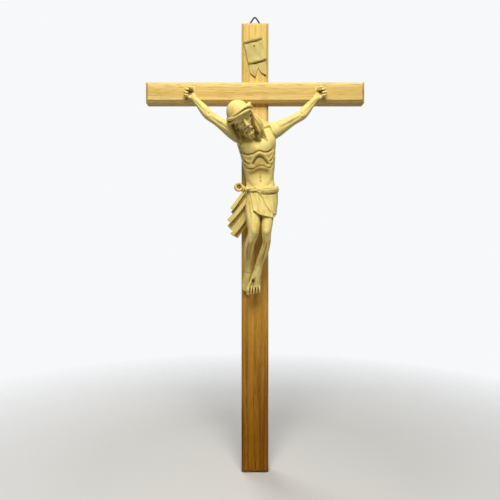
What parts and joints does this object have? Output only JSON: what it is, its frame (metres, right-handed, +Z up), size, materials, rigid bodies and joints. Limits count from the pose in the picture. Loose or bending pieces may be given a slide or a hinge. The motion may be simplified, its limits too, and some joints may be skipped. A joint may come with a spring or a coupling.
{
  "type": "wall crucifix",
  "caption": "Wall crucifix: carved pale wood figure with hanging cloth on an oak cross, tilted blank scroll above, swinging wire ring on the back for hanging.",
  "frame": {"origin": "middle of the upright's foot end, halfway through the board's thickness", "axes": "+Z up the upright, +Y from the figure to the wall, +X to the viewer's right"},
  "size_m": [0.24, 0.0771, 0.5146],
  "materials": {
    "oak": "oiled oak with open pores",
    "carved_wood": "pale carved wood with brown wash in the hollows",
    "dowel_wood": "plain beech dowel",
    "zinc_steel": "zinc plated",
    "black_steel": "blackened"
  },
  "bodies": {
    "cross": {"upright": "oak", "crossbar": "oak", "corpus_body": "carved_wood", "right_arm": "carved_wood", "left_arm": "carved_wood", "loincloth_drape": "carved_wood", "titulus_scroll": "carved_wood", "right_shoulder_dowel": "dowel_wood", "left_shoulder_dowel": "dowel_wood", "drape_dowel": "dowel_wood", "lap_screw_left": "zinc_steel", "lap_screw_right": "zinc_steel", "corpus_screw": "zinc_steel", "hanger_screw": "zinc_steel", "right_hand_nail": "black_steel", "left_hand_nail": "black_steel", "feet_nail": "black_steel", "titulus_pin": "black_steel", "hanger_strap": "black_steel"},
    "ring": {"hanger_ring": "black_steel"}
  },
  "joints": [
    {"name": "ring_swing", "type": "hinge", "parent": "cross", "child": "ring", "pos_m": [0, 0.01, 0.4966], "axis": [-1, 0, 0], "range_deg": [-12, 180]}
  ]
}
